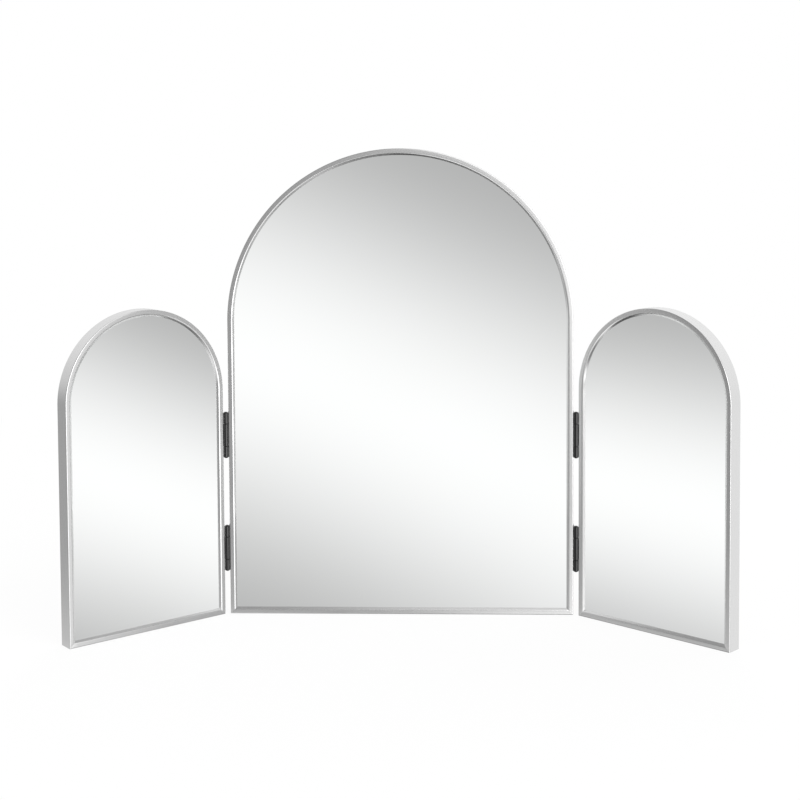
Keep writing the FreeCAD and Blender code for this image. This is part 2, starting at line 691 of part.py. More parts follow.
INNER_FACE = f"({KNUCKLE} - leaf_thickness)"
centre_places = []
for side, turn in ((-1, ALONG_X), (1, AGAINST_X)):
    x = f"{side} * ({HINGE_X} - {INNER_FACE})"
    centre_places += [(turn, x, f"{HINGE_Y} + {SCREW_LINE}", height) for height in hinge_screw_heights()]
group("centre_hinge_screws", hinge_screw, centre_places)
for wing, side, turn in (("left_wing", -1, AGAINST_X), ("right_wing", 1, ALONG_X)):
    places = [(turn, f"{side} * {INNER_FACE}", SCREW_LINE, height) for height in hinge_screw_heights()]
    put_on_hinge(group(f"{wing}_hinge_screws", hinge_screw, places), side, "0", swung=True)

make_hanger("left_hanger_plate", -1)
make_hanger("right_hanger_plate", 1)
cut_hanger_recesses(centre_board)
hanger_back = f"{BOARD_BACK} + hanger_thickness - frame_depth / 2"
hanger_places = [
    (
        FORWARD,
        f"{side} * hanger_spacing / 2",
        hanger_back,
        f"{HANGER_HEIGHT} + {sign} * (hanger_length / 2 - hanger_screw_inset)",
    )
    for side in (1, -1)
    for sign in (1, -1)
]
group("hanger_screws", hanger_screw, hanger_places)

doc.recompute()
for thing in doc.Objects:
    if "Invalid" in thing.State or "Error" in thing.State:
        raise RuntimeError(f"{thing.Label} did not build: {thing.State}")
    cuts = thing.isDerivedFrom("PartDesign::Pocket") or thing.isDerivedFrom("PartDesign::SubtractiveCone")
    if cuts and thing.Shape.Volume > thing.BaseFeature.Shape.Volume - 0.01:
        raise RuntimeError(f"{thing.Name} cuts nothing")
for piece in subparts:
    if piece.Shape.isNull() or not piece.Shape.isValid():
        raise RuntimeError(f"{piece.Label} has no sound shape")

os.makedirs("parts", exist_ok=True)
for piece in subparts:
    piece.Shape.exportStep(f"parts/{piece.Label}.step")
    box = piece.Shape.BoundBox
    print(f"{piece.Label}: {len(piece.Shape.Solids)} solids, {piece.Shape.Volume / 1000:.2f} cm3, "
          f"x {box.XMin:.1f} to {box.XMax:.1f}, y {box.YMin:.1f} to {box.YMax:.1f}, "
          f"z {box.ZMin:.1f} to {box.ZMax:.1f}")
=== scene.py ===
# %% [markdown]
# # A trifold mirror in brushed aluminium
# Three arched mirrors hang on black butt hinges. The solids come from the CAD model, which is loaded
# here as a fixed frame: every piece made below sits on it, in metres, and moves with one of its
# bodies.

# %% Load the frame
import json
import math

import bpy
import numpy as np
from mathutils import Matrix, Vector

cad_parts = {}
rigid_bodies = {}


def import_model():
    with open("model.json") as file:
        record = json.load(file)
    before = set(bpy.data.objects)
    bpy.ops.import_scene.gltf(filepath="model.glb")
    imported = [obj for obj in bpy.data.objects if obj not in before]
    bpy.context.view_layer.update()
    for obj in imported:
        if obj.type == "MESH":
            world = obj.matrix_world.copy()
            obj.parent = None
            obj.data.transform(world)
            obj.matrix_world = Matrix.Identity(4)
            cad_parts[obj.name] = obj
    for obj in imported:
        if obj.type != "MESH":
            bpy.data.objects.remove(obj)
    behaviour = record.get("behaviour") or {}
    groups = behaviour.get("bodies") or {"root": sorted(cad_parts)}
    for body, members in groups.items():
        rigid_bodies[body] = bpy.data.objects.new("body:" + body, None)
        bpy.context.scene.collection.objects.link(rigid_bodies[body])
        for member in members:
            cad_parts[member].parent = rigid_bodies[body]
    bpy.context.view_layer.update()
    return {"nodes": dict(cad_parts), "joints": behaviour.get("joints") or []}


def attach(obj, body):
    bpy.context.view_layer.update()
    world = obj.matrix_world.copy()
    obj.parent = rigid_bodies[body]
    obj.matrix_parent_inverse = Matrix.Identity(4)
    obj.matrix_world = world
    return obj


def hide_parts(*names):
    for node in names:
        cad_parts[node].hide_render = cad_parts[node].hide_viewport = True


bpy.ops.object.select_all(action="SELECT")
bpy.ops.object.delete()
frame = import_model()
scene = bpy.context.scene
scene.view_settings.view_transform = "Standard"
MM = 0.001

# %% [markdown]
# ## Where the three panels stand
# The centre panel stands square to the room, and a wing is the same kind of panel turned about its
# hinge axis. The wings could be drawn straight in their turned places, but then every formula would
# carry the angle. Here each panel is drawn in a frame of its own (X across, Y from the front face
# backwards, Z up) and one matrix carries it into place. The hinge axes and the resting angle are read
# from the joints, so the pieces cannot drift away from the CAD model.

# %% Panel sizes and places
FRAME_DEPTH = 25.0
CENTRE = {"width": 508.0, "height": 689.0}
WING = {"width": 252.5, "height": 462.0}
AXIS_FORWARD = 0.5
KNUCKLE_RADIUS = 3.75

joints = {joint["child"]: joint for joint in frame["joints"]}


def wing_place(body):
    """The wing's frame turned about the hinge axis, with its near edge a knuckle away from it."""
    joint = joints[body]
    axis = np.array(joint["pos_m"]) / MM
    side = 1 if axis[0] > 0 else -1
    swung = math.radians(-joint["range_deg"][0]) * -side
    middle_x = side * (KNUCKLE_RADIUS + WING["width"] / 2)
    to_hinge = Matrix.Translation((middle_x, AXIS_FORWARD, 0))
    return Matrix.Translation(axis) @ Matrix.Rotation(swung, 4, "Z") @ to_hinge


PANELS = {
    "centre": (CENTRE, Matrix.Translation((0, -FRAME_DEPTH / 2, 0))),
    "left_wing": (WING, wing_place("left_wing")),
    "right_wing": (WING, wing_place("right_wing")),
}
for body, (size, place) in PANELS.items():
    print(body, size, "front edge's middle at", [round(x, 2) for x in place.translation], "mm")

# %% [markdown]
# ## The frame bar's section
# The bar is an aluminium extrusion: a flat front lip with a bevel that runs down to the glass, a plain
# outer wall and a rear flange. A real extrusion has no knife edges, and it is the small rounds that
# catch a line of light, so every corner gets a radius. A Bevel modifier would give all corners one
# radius, so the rounds are worked out here, each with its own. The section is a closed line of points:
# how far in from the outer side, and how far back from the front.

# %% Corners of the section
FACE = 9.8
BEVEL_WIDTH = 3.0
BEVEL_FALL = 2.8
LIP_BACK = 3.2
BAR_WALL = 1.6
FLANGE = 8.5
FLANGE_FRONT = 23.5
CORNER = np.array([
    # inward, back, radius
    [FACE, BEVEL_FALL, 0.20],
    [FACE - BEVEL_WIDTH, 0.0, 2.80],
    [0.0, 0.0, 1.20],
    [0.0, FRAME_DEPTH, 0.40],
    [FLANGE, FRAME_DEPTH, 0.30],
    [FLANGE, FLANGE_FRONT, 0.30],
    [BAR_WALL, FLANGE_FRONT, 0.40],
    [BAR_WALL, LIP_BACK, 0.40],
    [FACE, LIP_BACK, 0.15],
])
FLANGE_CORNER = 4
ARC_STEPS = 7
FLANGE_STEPS = 30
print("section:", len(CORNER), "corners, radii", CORNER[:, 2].min(), "to", CORNER[:, 2].max(), "mm")


# %% Round the corners
def rounded_loop(corners, steps):
    """Each corner becomes an arc touching both of its sides.

    The arc's middle lies on the corner's bisector, radius / sin(half the angle) away, and its points
    turn evenly from the one touching point to the other.
    """
    point, radius = corners[:, :2], corners[:, 2:]
    to_last = np.roll(point, 1, axis=0) - point
    to_next = np.roll(point, -1, axis=0) - point
    to_last /= np.linalg.norm(to_last, axis=1, keepdims=True)
    to_next /= np.linalg.norm(to_next, axis=1, keepdims=True)
    half = np.arccos(np.sum(to_last * to_next, axis=1, keepdims=True)) / 2
    bisector = (to_last + to_next) / np.linalg.norm(to_last + to_next, axis=1, keepdims=True)
    middle = point + bisector * radius / np.sin(half)
    start = point + to_last * radius / np.tan(half) - middle
    end = point + to_next * radius / np.tan(half) - middle
    turn = np.pi - 2 * half[:, None]
    share = np.linspace(0, 1, steps)[None, :, None]
    arc = np.sin((1 - share) * turn) * start[:, None] + np.sin(share * turn) * end[:, None]
    return (middle[:, None] + arc / np.sin(turn)).reshape(-1, 2)


def bar_section():
    """The rounded section, with extra points across the flange's back, where screws are let in."""
    loop = rounded_loop(CORNER, ARC_STEPS)
    flange_start = FLANGE_CORNER * ARC_STEPS
    a, b = loop[flange_start - 1], loop[flange_start]
    between = a + (b - a) * np.linspace(0, 1, FLANGE_STEPS)[1:-1, None]
    return np.concatenate([loop[:flange_start], between, loop[flange_start:]])


SECTION = bar_section()
STEP_ROUND = np.linalg.norm(np.roll(SECTION, -1, 0) - SECTION, axis=1)
LENGTH_ROUND = np.concatenate([[0], np.cumsum(STEP_ROUND)])
print("section:", len(SECTION), "points,", round(LENGTH_ROUND[-1], 1), "mm round")

# %% [markdown]
# ## From a section and a path to a mesh
# A swept bar is a grid: one row of points for each place along the path, one column for each point of
# the section. The columns close on themselves and each end gets a lid. A curve with a bevel profile
# would sweep it too, but it cuts its ends square and gives no say over its UV map. Here the map is laid
# out in metres, along the bar and round it, so that the brushed grain can follow the bar round the arch.

# %% Grid to mesh
def make_bar(name, rows, along, place, body):
    """Quads between neighbouring rows and columns of a closed grid, with a lid on each end.

    rows is an array (row, column, xyz) in the panel's frame in millimetres, along the distance of each
    row and column down the bar. The UV map holds along and the distance round the section, in metres.
    """
    count, around = rows.shape[:2]
    index = np.arange(count * around).reshape(count, around)
    beside = np.roll(index, -1, axis=1)
    quads = np.stack([index[:-1], index[1:], beside[1:], beside[:-1]], axis=-1).reshape(-1, 4)
    lids = [index[0].tolist(), index[-1][::-1].tolist()]
    turned = rows.reshape(-1, 3) @ np.array(place.to_3x3()).T + np.array(place.translation)
    mesh = bpy.data.meshes.new(name)
    mesh.from_pydata(turned * MM, [], quads.tolist() + lids)
    far = np.concatenate([along, along[:, :1]], axis=1)
    u = np.stack([far[:-1, :-1], far[1:, :-1], far[1:, 1:], far[:-1, 1:]], axis=-1)
    near_v = np.broadcast_to(LENGTH_ROUND[:-1], (count - 1, around))
    far_v = np.broadcast_to(LENGTH_ROUND[1:], (count - 1, around))
    v = np.stack([near_v, near_v, far_v, far_v], axis=-1)
    lid_uv = np.concatenate([SECTION, SECTION[::-1]])
    uv = np.concatenate([np.stack([u, v], axis=-1).reshape(-1, 2), lid_uv]) * MM
    mesh.uv_layers.new(name="grain").data.foreach_set("uv", uv.ravel())
    smooth = np.ones(len(mesh.polygons), bool)
    smooth[-len(lids):] = False
    mesh.polygons.foreach_set("use_smooth", smooth)
    mesh.update()
    piece = bpy.data.objects.new(name, mesh)
    scene.collection.objects.link(piece)
    piece.modifiers.new("flat faces stay flat", "WEIGHTED_NORMAL").keep_sharp = True
    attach(piece, body)
    print(name, len(mesh.polygons), "faces")
    return piece


# %% [markdown]
# ## Mitred ends and let-in screws
# The arch and its rail meet at a mitre, and on the real frame a fine groove shows where two mitred bars
# meet. A boolean cut could make it, but here the rows are at hand: the last one draws in by a hair, and
# the one before it stands back by as much. The screws of the corner keys sit in round cups in the rear
# flange, which are pressed into the same grid, so the bar stays one closed skin.

# %% Groove and cups
GROOVE = 0.12
KEY_SCREW_IN = 4.9
KEY_SCREW_ALONG = 30.0
CUP_RADIUS = 2.78
CUP_DEPTH = 1.3
CUP_WALL = 0.35
CUP_ROWS = KEY_SCREW_ALONG + np.linspace(-3.5, 3.5, 29)
FLUSH = 1e-6


def drawn_in(amount):
    """The section moved inwards by an amount for each row, at right angles to its line."""
    run = np.roll(SECTION, -1, 0) - np.roll(SECTION, 1, 0)
    inward = np.stack([run[:, 1], -run[:, 0]], axis=1) / np.linalg.norm(run, axis=1, keepdims=True)
    return SECTION[None] + amount[:, None, None] * inward[None]


def mitre_groove(count):
    """How far each row stands back from the mitre, and its section, for a bar of count rows."""
    lift, shrink = np.zeros((2, count))
    lift[[1, -2]] = GROOVE
    shrink[[0, -1]] = GROOVE
    return lift[:, None], drawn_in(shrink)


def cupped(rows, screws):
    """Sinks the flange's back round each screw: down a steep wall to a flat floor."""
    x, y, z = np.moveaxis(rows, -1, 0)
    on_back = y > FRAME_DEPTH - FLUSH
    for screw_x, screw_z in screws:
        away = np.hypot(x - screw_x, z - screw_z)
        y = y - on_back * CUP_DEPTH * np.clip((CUP_RADIUS - away) / CUP_WALL, 0, 1)
    return np.stack([x, y, z], axis=-1)


print("cups", 2 * CUP_RADIUS, "mm wide in", len(CUP_ROWS), "rows, groove", 2 * GROOVE, "mm")

# %% [markdown]
# ## The arch and its rail
# One bar runs up a stile, half a turn over the top and down the other stile, and a straight rail closes
# the bottom. Three bars and a ring could be cut and joined, but the real one is bent from a single
# length, and a single sweep keeps its line of light unbroken. Near a foot each point of the section
# stops at its own height, as high as it is far in, and that is the mitre.

# %% Rows of the arch
PAST_MITRE = 12.0
PAST_CUP = 40.0
PLAIN_FROM = 60.0
STILE_ROWS = 6
ARCH_ROWS = 145


def arch_rows(width, height):
    """x = (half - in) cos t and z = max(in, h) + (half - in) sin t, in being the distance inwards.

    h climbs from 0 to the start of the arch while t stays 0, then t turns half way round, and h falls
    back to 0 on the other side.
    """
    half, spring = width / 2, height - width / 2
    plain = np.linspace(PLAIN_FROM, spring, STILE_ROWS)
    climb = np.concatenate([[0, 0, PAST_MITRE], CUP_ROWS, [PAST_CUP], plain])
    turn = np.linspace(0, np.pi, ARCH_ROWS)[1:-1]
    h = np.concatenate([climb, np.full(len(turn), spring), climb[::-1]])[:, None]
    t = np.concatenate([0 * climb, turn, 0 * climb + np.pi])[:, None]
    lift, section = mitre_groove(len(h))
    inward, back = section[..., 0], section[..., 1]
    reach = half - inward
    x = reach * np.cos(t)
    z = np.maximum(inward + lift, h) + reach * np.sin(t)
    climbed = np.maximum(inward, h)
    along = np.where(t < np.pi / 2, climbed, 2 * spring - climbed) + half * t
    screws = [(side * (half - KEY_SCREW_IN), KEY_SCREW_ALONG) for side in (1, -1)]
    return cupped(np.stack([x, back, z], axis=-1), screws), along


print("arch of the centre:", arch_rows(**CENTRE)[0].shape[:2], "rows and columns")

# %% Rows of the rail
RAIL_ROWS = 5


def rail_rows(width):
    """x runs from end to end and stops at half - in, and z = in."""
    half = width / 2
    plain = np.linspace(-half + PLAIN_FROM, half - PLAIN_FROM, RAIL_ROWS)
    left = np.concatenate([[-half, -half, -half + PAST_MITRE], -half + CUP_ROWS])
    station = np.concatenate([left, plain, -left[::-1]])[:, None]
    lift, section = mitre_groove(len(station))
    inward, back = section[..., 0], section[..., 1]
    reach = half - inward - lift
    x = np.clip(station, -reach, reach)
    screws = [(side * (half - KEY_SCREW_ALONG), KEY_SCREW_IN) for side in (1, -1)]
    return cupped(np.stack([x, back, inward], axis=-1), screws), x + half


print("rail of the centre:", rail_rows(CENTRE["width"])[0].shape[:2], "rows and columns")

# %% Sweep the three frames
frame_pieces = []
for body, (size, place) in PANELS.items():
    arch = make_bar(f"{body}_brushed_arch", *arch_rows(**size), place, body)
    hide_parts(f"{body}_frame_arch")
    rail = make_bar(f"{body}_brushed_rail", *rail_rows(size["width"]), place, body)
    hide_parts(f"{body}_frame_rail")
    frame_pieces += [arch, rail]
print("frames:", len(frame_pieces), "bars")

# %% [markdown]
# ## Building a material from nodes
# A shader tree is a handful of nodes wired together. One helper adds a node, sets its options and fills
# its inputs with numbers or with another node's output. Colours are written as they look on a screen
# and turned to linear light once, here.

# %% Node helper and colours
def srgb(code):
    """A hex colour as linear light: the standard's straight part near black, its power curve above."""
    seen = np.array([int(code[i:i + 2], 16) for i in (1, 3, 5)]) / 255
    linear = np.where(seen <= 0.04045, seen / 12.92, ((seen + 0.055) / 1.055) ** 2.4)
    return (*linear.tolist(), 1.0)


def add(tree, kind, settings=None, inputs=None):
    """Adds one node: settings are its options, inputs are values or sockets by name or number."""
    made = tree.nodes.new("ShaderNode" + kind)
    for name, value in (settings or {}).items():
        setattr(made, name, value)
    for name, value in (inputs or {}).items():
        if isinstance(value, bpy.types.NodeSocket):
            tree.links.new(value, made.inputs[name])
        else:
            made.inputs[name].default_value = value
    return made


def new_material(name):
    """A material with an empty node tree."""
    material = bpy.data.materials.new(name)
    material.use_nodes = True
    material.node_tree.nodes.clear()
    return material, material.node_tree


print("mid grey #808080 is", round(srgb("#808080")[0], 3), "in linear light")

# %% [markdown]
# ## Brushed aluminium
# The bars were drawn through an abrasive belt, so thousands of fine scratches run along them. Across the
# scratches light spreads widely and along them it hardly spreads, so a stile and a rail that meet at a
# mitre catch the room differently. A plain satin roughness would look like paint. The shader's
# anisotropy gives the difference, turned to run across the UV map's length.

# %% Brushed aluminium
SCRATCH_WIDTH = 0.7 * MM  # real ones are about 0.1 mm, too fine to show
SCRATCH_LENGTH = 45 * MM
SCRATCH_HEIGHT = 0.05 * MM
STREAK = {"From Min": 0.3, "From Max": 0.7}  # the part of the noise that is used


def brushed_aluminium():
    """Satin silver: long pale and dark streaks in colour, roughness and height along the bar."""
    material, tree = new_material("aluminium extrusion, belt brushed")
    uv = add(tree, "UVMap", {"uv_map": "grain"}).outputs["UV"]
    stretched = add(tree, "Mapping", inputs={
        "Vector": uv, "Scale": (1 / SCRATCH_LENGTH, 1 / SCRATCH_WIDTH, 1)}).outputs[0]
    scratch = add(tree, "TexNoise", {"noise_dimensions": "2D"}, {
        "Vector": stretched, "Scale": 1.0, "Detail": 3.0, "Roughness": 0.6}).outputs["Fac"]
    tone = add(tree, "MapRange", inputs={"Value": scratch, **STREAK}).outputs[0]
    colour = add(tree, "Mix", {"data_type": "RGBA"}, {
        "Factor": tone, "A": srgb("#e4e4e4"), "B": srgb("#eaeaea")}).outputs["Result"]
    rough = add(tree, "MapRange", inputs={
        "Value": scratch, **STREAK, "To Min": 0.17, "To Max": 0.21}).outputs[0]
    bump = add(tree, "Bump", inputs={
        "Height": scratch, "Strength": 0.06, "Distance": SCRATCH_HEIGHT}).outputs[0]
    tangent = add(tree, "Tangent", {"direction_type": "UV_MAP", "uv_map": "grain"}).outputs[0]
    metal = add(tree, "BsdfPrincipled", inputs={
        "Base Color": colour, "Metallic": 1.0, "Roughness": rough, "Normal": bump,
        "Anisotropic": 0.4, "Anisotropic Rotation": 0.25, "Tangent": tangent}).outputs[0]
    add(tree, "OutputMaterial", inputs={"Surface": metal})
    return material


ALUMINIUM = brushed_aluminium()
for piece in frame_pieces:
    piece.data.materials.append(ALUMINIUM)
print(ALUMINIUM.name, "on", len(frame_pieces), "bars")

# %% [markdown]
# ## Silvered glass
# A mirror is float glass with silver on its back. What the eye sees is the room, hardly dimmed by two
# passes through the glass. A clear pane over a silver sheet would show that too, but an exported pane
# is easily lost, so the whole sheet is the mirror. It is perfectly sharp, so its roughness is zero.

# %% Silvered glass
SILVER_CLOUD = 250 * MM


def silvered_glass():
    """A sharp mirror whose silver varies a very little, in clouds a hand's breadth or two wide."""
    material, tree = new_material("float glass, silvered")
    place = add(tree, "TexCoord").outputs["Object"]
    cloud = add(tree, "TexNoise", inputs={
        "Vector": place, "Scale": 1 / SILVER_CLOUD, "Detail": 1.0}).outputs["Fac"]
    colour = add(tree, "Mix", {"data_type": "RGBA"}, {
        "Factor": cloud, "A": srgb("#fafbfa"), "B": srgb("#fcfdfd")}).outputs["Result"]
    mirror = add(tree, "BsdfPrincipled", inputs={
        "Base Color": colour, "Metallic": 1.0, "Roughness": 0.0}).outputs[0]
    add(tree, "OutputMaterial", inputs={"Surface": mirror})
    return material


SILVERED_GLASS = silvered_glass()
print(SILVERED_GLASS.name, "with", len(SILVERED_GLASS.node_tree.nodes), "nodes")

# %% [markdown]
# ## Black hinges
# The hinges are steel, dipped in black lacquer. A black base alone would look like rubber. Lacquer is a
# clear skin over its colour, so the shine comes from the shader's coat and the base under it is dull.
# The skin has a slight orange peel, so the light line down each knuckle is soft and a little uneven.

# %% Black lacquer
ORANGE_PEEL = 1.2 * MM
PEEL_HEIGHT = 0.05 * MM


def black_lacquer():
    """Near black with a glossy, faintly dimpled skin."""
    material, tree = new_material("steel, black lacquer, dipped")
    place = add(tree, "TexCoord").outputs["Object"]
    peel = add(tree, "TexNoise", inputs={
        "Vector": place, "Scale": 1 / ORANGE_PEEL, "Detail": 2.0}).outputs["Fac"]
    colour = add(tree, "Mix", {"data_type": "RGBA"}, {
        "Factor": peel, "A": srgb("#070708"), "B": srgb("#0c0c0d")}).outputs["Result"]
    bump = add(tree, "Bump", inputs={
        "Height": peel, "Strength": 0.1, "Distance": PEEL_HEIGHT}).outputs[0]
    lacquer = add(tree, "BsdfPrincipled", inputs={
        "Base Color": colour, "Roughness": 0.6, "Specular IOR Level": 0.0, "Normal": bump,
        "Coat Weight": 1.0, "Coat IOR": 1.65, "Coat Roughness": 0.07,
        "Coat Normal": bump}).outputs[0]
    add(tree, "OutputMaterial", inputs={"Surface": lacquer})
    return material


BLACK_LACQUER = black_lacquer()
print(BLACK_LACQUER.name, "with", len(BLACK_LACQUER.node_tree.nodes), "nodes")

# %% [markdown]
# ## The back: fibreboard, card and steel
# Behind the glass are a grey card, a raw brown fibreboard and small steel fittings. Fibreboard is
# pressed wood dust, so it shows short fibres in several browns. Zinc plating freezes in dull, patchy
# crystals, and spring steel is blued in the oven. Each takes its pattern from Object coordinates,
# because the CAD meshes have no UV map.

# %% Fibreboard
FIBRE = 2.5 * MM
FIBRE_HEIGHT = 0.2 * MM
BOARD_PATCH = 60 * MM


def fibreboard():
    """Dull brown with short pale fibres, and broad patches where the dust was darker."""
    material, tree = new_material("fibreboard, pressed and left raw")
    place = add(tree, "TexCoord").outputs["Object"]
    fibre = add(tree, "TexNoise", inputs={
        "Vector": place, "Scale": 1 / FIBRE, "Detail": 6.0, "Roughness": 0.7}).outputs["Fac"]
    patch = add(tree, "TexNoise", inputs={
        "Vector": place, "Scale": 1 / BOARD_PATCH, "Detail": 3.0}).outputs["Fac"]
    fine = add(tree, "Mix", {"data_type": "RGBA"}, {
        "Factor": fibre, "A": srgb("#7d5c40"), "B": srgb("#a98a67")}).outputs["Result"]
    colour = add(tree, "Mix", {"data_type": "RGBA", "blend_type": "MULTIPLY"}, {
        "Factor": patch, "A": fine, "B": srgb("#d9cfc4")}).outputs["Result"]
    bump = add(tree, "Bump", inputs={
        "Height": fibre, "Strength": 0.25, "Distance": FIBRE_HEIGHT}).outputs[0]
    board = add(tree, "BsdfPrincipled", inputs={
        "Base Color": colour, "Roughness": 0.82, "Normal": bump}).outputs[0]
    add(tree, "OutputMaterial", inputs={"Surface": board})
    return material


FIBREBOARD = fibreboard()
print(FIBREBOARD.name, "with", len(FIBREBOARD.node_tree.nodes), "nodes")

# %% Card
CARD_FLECK = 3 * MM


def grey_card():
    """Matt warm grey with small flecks of the paper it was made from."""
    material, tree = new_material("card, uncoated grey")
    place = add(tree, "TexCoord").outputs["Object"]
    fleck = add(tree, "TexNoise", inputs={
        "Vector": place, "Scale": 1 / CARD_FLECK, "Detail": 4.0}).outputs["Fac"]
    colour = add(tree, "Mix", {"data_type": "RGBA"}, {
        "Factor": fleck, "A": srgb("#8f8677"), "B": srgb("#a89f90")}).outputs["Result"]
    card = add(tree, "BsdfPrincipled", inputs={"Base Color": colour, "Roughness": 0.9}).outputs[0]
    add(tree, "OutputMaterial", inputs={"Surface": card})
    return material


GREY_CARD = grey_card()
print(GREY_CARD.name, "with", len(GREY_CARD.node_tree.nodes), "nodes")

# %% Zinc plate
ZINC_CRYSTAL = 4 * MM


def zinc_plate():
    """Dull silver in flat patches, some a shade paler and duller than their neighbours."""
    material, tree = new_material("steel, zinc plated")
    place = add(tree, "TexCoord").outputs["Object"]
    crystal = add(tree, "TexVoronoi", inputs={
        "Vector": place, "Scale": 1 / ZINC_CRYSTAL}).outputs["Color"]
    tone = add(tree, "RGBToBW", inputs={"Color": crystal}).outputs[0]
    colour = add(tree, "Mix", {"data_type": "RGBA"}, {
        "Factor": tone, "A": srgb("#b4b8bb"), "B": srgb("#cfd2d3")}).outputs["Result"]
    rough = add(tree, "MapRange", inputs={
        "Value": tone, "To Min": 0.34, "To Max": 0.5}).outputs[0]
    zinc = add(tree, "BsdfPrincipled", inputs={
        "Base Color": colour, "Metallic": 1.0, "Roughness": rough}).outputs[0]
    add(tree, "OutputMaterial", inputs={"Surface": zinc})
    return material


ZINC_PLATE = zinc_plate()
print(ZINC_PLATE.name, "with", len(ZINC_PLATE.node_tree.nodes), "nodes")

# %% Spring steel
BLUED_BLOOM = 8 * MM


def spring_steel():
    """Blue-grey and half shiny, with the cloudy bloom that tempering leaves."""
    material, tree = new_material("spring steel, blued")
    place = add(tree, "TexCoord").outputs["Object"]
    bloom = add(tree, "TexNoise", inputs={
        "Vector": place, "Scale": 1 / BLUED_BLOOM, "Detail": 2.0}).outputs["Fac"]
    colour = add(tree, "Mix", {"data_type": "RGBA"}, {
        "Factor": bloom, "A": srgb("#5d6570"), "B": srgb("#7c828a")}).outputs["Result"]
    steel = add(tree, "BsdfPrincipled", inputs={
        "Base Color": colour, "Metallic": 1.0, "Roughness": 0.3}).outputs[0]
    add(tree, "OutputMaterial", inputs={"Surface": steel})
    return material


SPRING_STEEL = spring_steel()
print(SPRING_STEEL.name, "with", len(SPRING_STEEL.node_tree.nodes), "nodes")

# %% [markdown]
# ## Dressing the CAD pieces
# The glass, boards, hinges and screws keep their CAD meshes, because those shapes are right as they
# are. Each gets its finish by the end of its name, and the bars under the swept frames, which stay
# hidden, get the aluminium.

# %% Dress the CAD nodes
FINISH = {
    "mirror_glass": SILVERED_GLASS,
    "liner": GREY_CARD,
    "backing_board": FIBREBOARD,
    "corner_keys": ZINC_PLATE,
    "key_screws": ZINC_PLATE,
    "hanger_plate": ZINC_PLATE,
    "hanger_screws": ZINC_PLATE,
    "spring_strips": SPRING_STEEL,
    "hinge_screws": BLACK_LACQUER,
    "hinge_pin": BLACK_LACQUER,
    "leaf": BLACK_LACQUER,
    "frame_arch": ALUMINIUM,
    "frame_rail": ALUMINIUM,
}
for name, node in frame["nodes"].items():
    node.data.materials[0] = next(FINISH[ending] for ending in FINISH if name.endswith(ending))
print("finishes:", sorted({material.name for material in FINISH.values()}))

# %% [markdown]
# ## The room
# Mirrors and metal show their surroundings, so the room is what gives them shape. Cards and walls could
# be built round the object, but a world made of soft patches lights it as well and casts no stray
# shadows. A patch is the product of its edges, and a map is the sum of its patches. Directions are
# those of a point on a globe round the object: x to the right, y away from the camera, z up, and turn
# the angle to the right of straight ahead.
#
# Brushed metal and lacquer see a studio that is dim to the left and bright to the right, with a
# window, a softbox, a pale floor in front, less light far below and a white wall behind.

# %% Patches of light
LIGHT_MAPS = {
    # map: patch: edges of (direction, from, to, value before, value after)
    "room": {
        "dim left, bright right": [("x", -0.1, 0.14, 0.36, 0.7)],
        "brighter further right": [("x", 0.06, 0.3, 0.0, 0.24)],
        "dimmer far left": [("x", -0.95, -0.6, -0.05, 0.0)],
        "corner to the right": [
            ("turn", 1.14, 1.23, 0.22, -0.5), ("turn", 1.65, 1.8, 1.0, 0.0),
            ("turn", 0.85, 1.0, 0.0, 1.0)],
        "window": [
            ("x", 0.05, 0.1, 0.0, 1.0), ("z", -0.17, -0.1, 0.0, 0.7),
            ("x", 0.3, 0.6, 1.0, 0.0), ("y", -0.6, -0.3, 1.0, 0.0)],
        "lift above": [
            ("x", -0.09, -0.03, 0.0, 1.0), ("z", -0.02, 0.04, 0.0, 0.3),
            ("x", 0.0, 0.1, 1.0, 0.0)],
        "glow far left": [
            ("y", -0.3, -0.26, -0.06, 0.24), ("y", -0.15, 0.05, 1.0, 0.0),
            ("z", -0.27, -0.2, 0.0, 1.0), ("x", -0.9, -0.8, 1.0, 0.0)],
        "floor to the right": [
            ("x", -0.03, 0.02, 0.0, 0.75), ("x", 0.3, 0.6, 1.0, 0.0),
            ("z", -0.33, -0.25, 1.0, 0.0)],
        "floor to the left": [("x", -0.2, -0.04, 0.38, 0.0), ("z", -0.33, -0.25, 1.0, 0.0)],
    },
    "below": {
        "level and up": [("z", -0.66, -0.35, 0.0, 1.0)],
        "far below": [("x", 0.2, 0.5, 0.14, 0.6), ("z", -0.66, -0.35, 1.0, 0.0)],
        "pale in front, to the left": [
            ("x", -0.08, 0.0, 1.5, 0.0), ("y", -0.4, -0.2, 1.0, 0.0),
            ("z", -0.66, -0.35, 1.0, 0.0)],
    },
    "wall_behind": {
        "wall": [("y", 0.1, 0.5, 0.0, 1.0), ("z", -0.16, 0.14, 0.2, 0.8)],
    },
    "softbox": {
        "softbox": [
            ("x", 0.28, 0.34, 0.0, 2.4), ("x", 0.62, 0.74, 1.0, 0.0),
            ("z", -0.35, -0.2, 0.0, 1.0), ("z", 0.35, 0.5, 1.0, 0.0),
            ("y", -0.5, -0.2, 1.0, 0.0)],
    },
    "past_band": {
        "paler wall": [("phase", 0.5, 1.5, 0.0, 0.45)],
    },
    "worktop": {
        "shade": [
            ("z", -0.5, -0.38, -0.75, 0.0), ("x", 0.0, 0.12, 1.0, 0.0),
            ("x", -0.45, -0.3, 0.0, 1.0)],
    },
}


